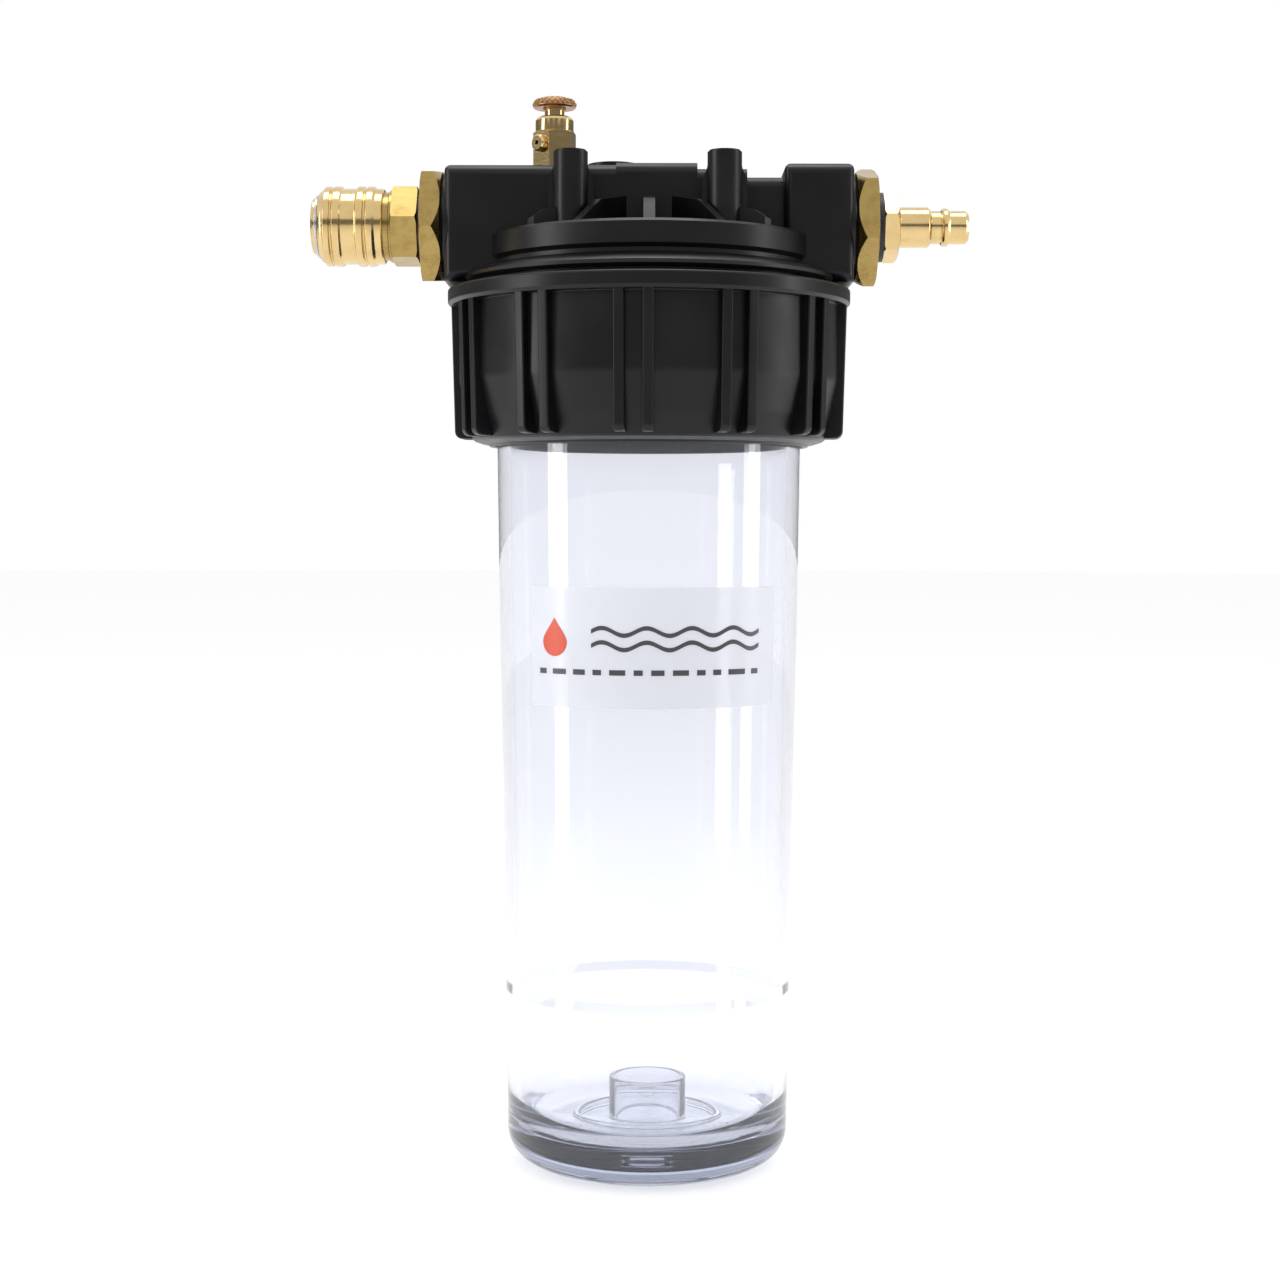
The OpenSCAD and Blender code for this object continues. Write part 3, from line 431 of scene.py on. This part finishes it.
class HOUSING_OT_stage(bpy.types.Operator):
    """Adds the floor, the soft lights and the camera"""

    bl_idname = "housing.stage"
    bl_label = "Stage"

    def execute(self, context):
        scene = context.scene
        scene.view_settings.view_transform = "Standard"
        bm = bmesh.new()
        bmesh.ops.create_circle(bm, cap_ends=True, radius=9.0, segments=64)
        mesh = bpy.data.meshes.new("floor")
        bm.to_mesh(mesh)
        bm.free()
        mesh.materials.append(finish_of("floor"))
        floor = bpy.data.objects.new("floor", mesh)
        floor.location.z = -0.0003
        scene.collection.objects.link(floor)
        lamps = (
            ("left_softbox", (-1.15, -0.35, 0.35), 0.3, 1.1, 6),
            ("right_softbox", (1.2, -0.1, 0.35), 0.25, 1.1, 4),
            ("top_softbox", (0.0, 0.1, 1.6), 0.9, 0.6, 8),
        )
        for name, place, width, height, power in lamps:
            light = bpy.data.lights.new(name, "AREA")
            light.shape = "RECTANGLE"
            light.size = width
            light.size_y = height
            light.energy = power
            light.diffuse_factor = 0.2
            lamp = bpy.data.objects.new(name, light)
            aim = Vector((0, 0, 0.2)) - Vector(place)
            lamp.matrix_world = (
                Matrix.Translation(place) @ aim.to_track_quat("-Z", "Y").to_matrix().to_4x4())
            scene.collection.objects.link(lamp)
        sky = bpy.data.lights.new("overhead", "SUN")
        sky.energy = 2.5
        sky.specular_factor = 0
        sky.angle = math.radians(150)
        scene.collection.objects.link(bpy.data.objects.new("overhead", sky))
        self.surround(scene)
        camera = bpy.data.cameras.new("camera")
        camera.lens = 62.3
        camera.sensor_width = 36
        eye = bpy.data.objects.new("camera", camera)
        eye.matrix_world = (
            Matrix.Translation((-0.0007, -0.690, 0.198))
            @ Matrix.Rotation(0.0027, 4, "Z")
            @ Matrix.Rotation(math.radians(90 - 2.97), 4, "X")
            @ Matrix.Rotation(0.002, 4, "Z"))
        scene.collection.objects.link(eye)
        scene.camera = eye
        return {"FINISHED"}

    def surround(self, scene):
        """White behind the object, dimmer in its reflections, as between softboxes."""
        world = bpy.data.worlds.new("studio")
        world.use_nodes = True
        tree = world.node_tree
        tree.nodes.clear()
        path = add(tree, "ShaderNodeLightPath")
        seen = add(tree, "ShaderNodeMath", {
            0: path.outputs["Is Camera Ray"], 1: path.outputs["Is Transmission Ray"]},
            operation="MAXIMUM")
        glossy = add(tree, "ShaderNodeMapRange", {
            "Value": path.outputs["Is Glossy Ray"], "To Min": 0.3, "To Max": 0.2})
        toward = add(tree, "ShaderNodeSeparateXYZ", {
            "Vector": add(tree, "ShaderNodeTexCoord").outputs["Generated"]})
        behind = add(tree, "ShaderNodeMapRange", {
            "Value": toward.outputs["Y"], "From Min": 0.1, "From Max": 0.75,
            "To Min": 0.5, "To Max": 1.12})
        through = add(tree, "ShaderNodeMix", {
            "Factor": path.outputs["Is Camera Ray"], "A": behind.outputs["Result"], "B": 1.0},
            data_type="FLOAT")
        level = add(tree, "ShaderNodeMix", {
            "Factor": seen.outputs[0], "A": glossy.outputs["Result"],
            "B": through.outputs["Result"]}, data_type="FLOAT")
        light = add(tree, "ShaderNodeBackground", {
            "Color": (1, 1, 1, 1), "Strength": level.outputs["Result"]})
        out = add(tree, "ShaderNodeOutputWorld")
        tree.links.new(light.outputs[0], out.inputs["Surface"])
        scene.world = world


class HOUSING_OT_bowl(bpy.types.Operator):
    """Spins the clear bowl with its cartridge stub"""

    bl_idname = "housing.bowl"
    bl_label = "Clear bowl"

    def dimples(self):
        """Three shallow plugs that press the dimples into the base."""
        radius, depth, out = 3.6, 1.2, 29.3
        bm = bmesh.new()
        for angle in (-30, 90, 210):
            plug = turned([(0, -1), (radius, -1), (radius, depth, 0.5), (0, depth)], 40)
            around = Matrix.Rotation(math.radians(angle), 4, "Z")
            bmesh.ops.transform(
                plug, matrix=around @ Matrix.Translation((out, 0, 0)), verts=plug.verts)
            join(bm, plug)
        bmesh.ops.scale(bm, verts=bm.verts, vec=(MM, MM, MM))
        bmesh.ops.recalc_face_normals(bm, faces=bm.faces)
        mesh = bpy.data.meshes.new("dimples")
        bm.to_mesh(mesh)
        bm.free()
        cutter = bpy.data.objects.new("dimples", mesh)
        bpy.context.scene.collection.objects.link(cutter)
        return cutter

    def execute(self, context):
        s = sizes()
        top_r = s.bowl_top_radius / MM
        base_r = s.bowl_base_radius / MM
        wall = s.bowl_wall / MM
        corner = s.bowl_corner / MM
        top = BOWL_HIGH.z
        flange = top - FLANGE_DOWN
        flange_r = BOWL_HIGH.x
        groove_r = top_r - 3.3
        floor = 11
        floor_corner = 12
        stub_top = floor + 14.8
        stub_r, stub_in = 12, 10.4
        ring_top = floor + 2.5
        ring_r, ring_in = 23.5, 21.2
        step = 55
        step_rise = 0.6
        step_in = base_r + (top_r - base_r) * (step - corner) / (flange - corner) - wall
        outline = [
            (0, 0), (base_r, 0, corner), (top_r, flange), (flange_r, flange, 0.4),
            (flange_r, flange + 7, 1), (top_r, flange + 7, 0.3), (top_r, top - 8),
            (groove_r, top - 8), (groove_r, top - 4), (top_r, top - 4),
            (top_r, top, 0.8), (top_r - wall, top, 0.5), (top_r - wall, flange),
            (step_in, step + 1.6, 1.5), (step_in + step_rise, step - 1.6, 1.5),
            (base_r - wall, floor, floor_corner), (ring_r, floor, 0.6), (ring_r, ring_top, 0.9),
            (ring_in, ring_top, 0.9), (ring_in, floor, 0.5), (stub_r, floor, 0.5),
            (stub_r, stub_top, 0.6), (stub_in, stub_top, 0.6), (stub_in, floor, 0.8), (0, floor),
        ]
        bowl = piece("bowl_clear", turned(outline, 160), "clear", "bowl", ("bowl",), smooth=60)
        cutter = self.dimples()
        press = bowl.modifiers.new("dimples", "BOOLEAN")
        press.operation = "DIFFERENCE"
        press.solver = "EXACT"
        press.object = cutter
        context.view_layer.update()
        solved = bowl.evaluated_get(context.evaluated_depsgraph_get())
        pressed = bpy.data.meshes.new_from_object(solved)
        bowl.modifiers.remove(press)
        bowl.data = pressed
        bpy.data.objects.remove(cutter)
        pressed.set_sharp_from_angle(angle=math.radians(35))
        bowl.visible_shadow = False
        return {"FINISHED"}


class HOUSING_OT_label(bpy.types.Operator):
    """Wraps the label film with its plain print round the bowl"""

    bl_idname = "housing.label"
    bl_label = "Label"

    def wrap(self, bm, out):
        """Bends a flat shape, drawn in x and z, round the bowl at that height above its wall."""
        s = sizes()
        low_r, top_r = s.bowl_base_radius / MM, s.bowl_top_radius / MM
        slope = (top_r - low_r) / (BOWL_HIGH.z - FLANGE_DOWN - BOWL_CORNER_Z)
        bend_r = 45
        turn = math.radians(2.7)
        for v in bm.verts:
            radius = low_r + slope * (v.co.z - BOWL_CORNER_Z) + out + v.co.y
            angle = v.co.x / bend_r + turn
            v.co.x = radius * math.sin(angle)
            v.co.y = -radius * math.cos(angle)

    def patch(self, x0, x1, z0, z1, out, thick, across=1, rise=None):
        """A thin bent rectangle, whose points rise by a function of x."""
        bm = bmesh.new()
        bmesh.ops.create_grid(bm, x_segments=across, y_segments=2, size=0.5)
        turn = Matrix.Rotation(math.radians(90), 4, "X")
        bmesh.ops.transform(bm, matrix=turn, verts=bm.verts)
        bmesh.ops.scale(bm, vec=(x1 - x0, 1, z1 - z0), verts=bm.verts)
        bmesh.ops.translate(bm, vec=((x0 + x1) / 2, 0, (z0 + z1) / 2), verts=bm.verts)
        bmesh.ops.solidify(bm, geom=bm.verts[:] + bm.edges[:] + bm.faces[:], thickness=thick)
        for v in bm.verts:
            v.co.z += rise(v.co.x) if rise else 0
        self.wrap(bm, out)
        return bm

    def execute(self, context):
        half = 40.3
        z0, z1 = LABEL_LOW.z, LABEL_HIGH.z
        film = self.patch(-half, half, z0, z1, 0.16, 0.1, 48)
        piece("label_film", film, "film", "bowl", ("bowl_label",))
        middle = z0 + 20.4
        ink_out, ink_thick = 0.3, 0.04
        start = -half + 21.5
        length, period, stroke = 52, 13, 1.3
        waves = bmesh.new()
        for level in (middle + 2.1, middle - 2.1):
            wave = self.patch(
                start, start + length, level - stroke / 2, level + stroke / 2,
                ink_out, ink_thick, 96,
                lambda x: 1.1 * math.sin((x - start) * 2 * math.pi / period))
            join(waves, wave)
        x = -half + 3.6
        for k in range(12):
            dash = 2.6 + 2.1 * (k % 3 == 1) + 1.2 * (k % 4 == 2)
            join(waves, self.patch(x, x + dash, z0 + 9.7, z0 + 11.3, ink_out, ink_thick, 4))
            x += dash + 2.4
        piece("label_waves", waves, "dark_ink", "bowl")
        drop_r = 4.4
        drop = bmesh.new()
        bmesh.ops.create_uvsphere(drop, u_segments=48, v_segments=24, radius=drop_r)
        for v in drop.verts:
            up = max(v.co.z, 0) / drop_r
            v.co.x *= 1 - 0.8 * up ** 2
            v.co.y *= 0.03 / drop_r
            v.co.z += 2.6 * up ** 2
        bmesh.ops.translate(drop, vec=(-half + 9.3, 0, middle - 1.1), verts=drop.verts)
        self.wrap(drop, ink_out)
        piece("label_drop", drop, "warm_ink", "bowl")
        return {"FINISHED"}


class HOUSING_OT_union_nut(bpy.types.Operator):
    """Turns the union nut and sets its ribs round it"""

    bl_idname = "housing.union_nut"
    bl_label = "Union nut"

    def rib(self):
        """One upright rib on the +X side, as a rounded slab."""
        z0, z1 = NUT_LOW.z + 2.6, NUT_HIGH.z - 4.4
        width = sizes().rib_width / MM
        outline = rounded([
            (53.9, z0), (60.0, z0, 2.2), (61.1, z1), (57.4, z1), (57.4, z0 + 19), (54.6, z0 + 5)])
        bm = bmesh.new()
        face = bm.faces.new([bm.verts.new((p.x, -width / 2, p.y)) for p in outline])
        grown = bmesh.ops.extrude_face_region(bm, geom=[face])
        moved = [v for v in grown["geom"] if isinstance(v, bmesh.types.BMVert)]
        bmesh.ops.translate(bm, vec=(0, width, 0), verts=moved)
        sides = [e for e in bm.edges if abs(e.verts[0].co.y - e.verts[1].co.y) < 0.01
                 and min(v.co.x for v in e.verts) > 57.5]
        bmesh.ops.bevel(
            bm, geom=sides, offset=0.5, offset_type="OFFSET", segments=3, profile=0.5,
            affect="EDGES", material=-1)
        return bm

    def execute(self, context):
        low, top = NUT_LOW.z, NUT_HIGH.z
        rim = NUT_HIGH.x
        lip = low + 6
        nut = turned([
            (47.7, low, 0.5), (49.0, low, 0.3), (49.9, low + 0.8, 0.3), (51.0, low + 0.8, 0.3),
            (53.6, low + 1.6, 0.3), (54.4, low + 2.2, 0.4), (56.4, low + 9, 9),
            (58.5, low + 20.2, 12), (58.5, top - 5.2, 0.4), (61.1, top - 5.2, 0.4),
            (rim, top - 4.2, 0.5), (rim, top, 0.9), (57.2, top, 0.4), (56.2, top - 1, 0.3),
            (56.2, lip + 17.6, 0.3), (53.0, lip + 15, 0.3), (53.0, lip - 0.05),
            (47.7, lip - 0.05, 0.4),
        ], 192)
        pairs = sizes().rib_pairs
        first_rib = -94.3
        pair_half = 4
        for i in range(pairs):
            for side in (-1, 1):
                rib = self.rib()
                angle = math.radians(first_rib + i * 360 / pairs + side * pair_half)
                bmesh.ops.rotate(rib, matrix=Matrix.Rotation(angle, 3, "Z"), verts=rib.verts)
                join(nut, rib)
        piece("union_nut_ribbed", nut, "black", "nut", ("union_nut",), smooth=40)
        return {"FINISHED"}


class HOUSING_OT_threads(bpy.types.Operator):
    """Winds the matching thread ridges on the head's collar and in the nut"""

    bl_idname = "housing.threads"
    bl_label = "Threads"

    def ridge(self, root, crest, z0, start, turns):
        """A helical ridge with a trapezium section."""
        pitch = sizes().thread_pitch / MM
        bm = bmesh.new()
        corners = [(root, -1.2), (crest, -0.7), (crest, 0.7), (root, 1.2)]
        face = bm.faces.new([bm.verts.new((r, 0, z0 + z)) for r, z in corners])
        steps = int(60 * turns)
        bmesh.ops.spin(
            bm, geom=[face], cent=(0, 0, 0), axis=(0, 0, 1),
            dvec=(0, 0, pitch * turns / steps), angle=2 * math.pi * turns, steps=steps)
        bmesh.ops.rotate(bm, matrix=Matrix.Rotation(start, 3, "Z"), verts=bm.verts)
        return bm

    def execute(self, context):
        start = NUT_HIGH.z - 20.6
        outer = self.ridge(53.9, 55.7, start, 0, 3)
        piece("collar_thread", outer, "black", "head", edge=0.2 * MM)
        inner = self.ridge(56.5, 54.7, start, math.pi, 2.5)
        piece("nut_thread", inner, "black", "nut", edge=0.2 * MM)
        return {"FINISHED"}


class HOUSING_OT_head(bpy.types.Operator):
    """Builds the moulded head"""

    bl_idname = "housing.head"
    bl_label = "Head"

    def execute(self, context):
        cad_copy("head_moulded", "head", "black", "head", 28, sizes().edge, 3)
        return {"FINISHED"}


class HOUSING_OT_fittings(bpy.types.Operator):
    """Finishes the brass fittings, the coupling and the plug"""

    bl_idname = "housing.fittings"
    bl_label = "Brass fittings"

    def execute(self, context):
        edge = sizes().turned_edge
        for side in ("inlet", "outlet"):
            cad_copy(f"{side}_reducer_bar", f"{side}_reducer", "bar_brass", "head", 20, 2 * edge)
        cad_copy("adaptor_turned", "coupling_adaptor", "bar_brass", "head", 20, edge, flat=0)
        cad_copy("socket_turned", "coupling_socket", "brass", "head", 30, edge)
        cad_copy("sleeve_turned", "coupling_sleeve", "brass", "sleeve", 30, edge)
        cad_copy("poppet_turned", "coupling_poppet", "brass", "poppet", 30, edge)
        cad_copy("snap_ring_steel", "sleeve_snap_ring", "steel", "head", 30, edge)
        cad_copy("plug_turned", "quick_plug", "brass", "head", 25, edge)
        for i in range(1, 5):
            cad_copy(f"ball_{i}_steel", f"locking_ball_{i}", "steel", f"ball_{i}", 60)
        return {"FINISHED"}


class HOUSING_OT_vent_valve(bpy.types.Operator):
    """Finishes the vent valve"""

    bl_idname = "housing.vent_valve"
    bl_label = "Vent valve"

    def knob(self):
        """The domed knob with two rows of pits pressed into its shoulder."""
        r = (KNOB_HIGH.x - KNOB_LOW.x) / 2
        low = KNOB_LOW.z + 0.6
        top = KNOB_HIGH.z
        steps = 48
        bm = turned([
            (0, low - 0.6), (3.5, low - 0.6), (3.5, low), (r - 0.4, low), (r, low + 0.45),
            (r, low + 0.7), (r - 0.3, low + 1.75), (r - 1.25, low + 2.6), (r - 2.6, top - 0.2),
            (r - 4.6, top), (0, top),
        ], steps)
        rows = []
        for face in bm.faces:
            at = face.calc_center_median()
            row = (low + 0.7 < at.z < low + 1.75) - (low + 1.75 < at.z < low + 2.6)
            turn = round(math.degrees(math.atan2(at.y, at.x)) / (360 / steps) - 0.5)
            if row and math.hypot(at.x, at.y) > 4.5 and turn % 2 == (row > 0):
                rows.append(face)
        bmesh.ops.inset_individual(bm, faces=rows, thickness=0.1, depth=0)
        bmesh.ops.inset_individual(bm, faces=rows, thickness=0.16, depth=-0.35)
        bmesh.ops.translate(bm, vec=(VENT_X, 0, 0), verts=bm.verts)
        piece("vent_knob_knurled", bm, "knob", "knob", ("vent_knob",), 30)

    def execute(self, context):
        edge = sizes().turned_edge
        cad_copy("vent_body_turned", "vent_body", "brass_upright", "head", 25, edge)
        cad_copy("vent_spindle_turned", "vent_spindle", "brass_upright", "knob", 30, edge)
        self.knob()
        return {"FINISHED"}


class HOUSING_OT_seals(bpy.types.Operator):
    """Finishes the washers, seals and springs"""

    bl_idname = "housing.seals"
    bl_label = "Seals and springs"

    def spring(self, node, joint, radius, wire, travel):
        """A round wire coil in the node's place; the joint is not used."""
        low, high = box_mm(node)
        length = high.x - low.x
        turns = 4
        steps = 40 * turns
        bm = bmesh.new()
        bmesh.ops.create_circle(bm, cap_ends=True, radius=wire, segments=12)
        bmesh.ops.rotate(bm, matrix=Matrix.Rotation(math.radians(90), 3, "X"), verts=bm.verts)
        bmesh.ops.translate(bm, vec=(radius, 0, wire), verts=bm.verts)
        bmesh.ops.spin(
            bm, geom=bm.faces[:], cent=(0, 0, 0), axis=(0, 0, 1),
            dvec=(0, 0, (length - 2 * wire) / steps), angle=2 * math.pi * turns, steps=steps)
        turn = Matrix.Translation((high.x, 0, PORT_Z)) @ Matrix.Rotation(math.radians(-90), 4, "Y")
        bmesh.ops.transform(bm, matrix=turn, verts=bm.verts)
        coil = piece(f"{node}_wire", bm, "steel", "head", (node,), 80)
        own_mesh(coil)

    def execute(self, context):
        edge = sizes().turned_edge
        for node in ("inlet_seal", "outlet_seal", "coupling_washer", "plug_washer",
                     "coupling_seal", "vent_gasket"):
            cad_copy(f"{node}_rubber", node, "rubber", "head", 30, edge)
        cad_copy("bowl_o_ring_rubber", "bowl_o_ring", "rubber", "bowl", 40)
        cad_copy("vent_o_ring_rubber", "vent_o_ring", "rubber", "knob", 30, edge)
        cad_copy("vent_seat_seal_rubber", "vent_seat_seal", "rubber", "needle", 30, edge)
        self.spring("sleeve_spring", "sleeve_slide", 9.35, 0.45, 1.6)
        self.spring("poppet_spring", "poppet_slide", 4.9, 0.4, 2.5)
        return {"FINISHED"}


class HOUSING_PT_panel(bpy.types.Panel):
    """Lists the housing's pieces"""

    bl_idname = "HOUSING_PT_panel"
    bl_label = "Water filter housing"
    bl_space_type = "VIEW_3D"
    bl_region_type = "UI"
    bl_category = "Housing"

    def draw(self, context):
        for operator in OPERATORS:
            self.layout.operator(operator.bl_idname)
        for group in (context.scene.housing_sizes, context.scene.housing_colours):
            for name in group.__annotations__:
                self.layout.prop(group, name)


OPERATORS = (
    HOUSING_OT_stage, HOUSING_OT_bowl, HOUSING_OT_label, HOUSING_OT_union_nut,
    HOUSING_OT_threads, HOUSING_OT_head, HOUSING_OT_fittings, HOUSING_OT_vent_valve,
    HOUSING_OT_seals,
)
CLASSES = (HousingSizes, HousingColours, *OPERATORS, HOUSING_PT_panel)


def register():
    for cls in CLASSES:
        bpy.utils.register_class(cls)
    bpy.types.Scene.housing_sizes = PointerProperty(type=HousingSizes)
    bpy.types.Scene.housing_colours = PointerProperty(type=HousingColours)


def unregister():
    del bpy.types.Scene.housing_colours
    del bpy.types.Scene.housing_sizes
    for cls in reversed(CLASSES):
        bpy.utils.unregister_class(cls)


def main():
    """Builds everything."""
    register()
    bpy.ops.housing.stage()
    bpy.ops.housing.bowl()
    bpy.ops.housing.label()
    bpy.ops.housing.union_nut()
    bpy.ops.housing.threads()
    bpy.ops.housing.head()
    bpy.ops.housing.fittings()
    bpy.ops.housing.vent_valve()
    bpy.ops.housing.seals()


if __name__ == "__main__":
    main()
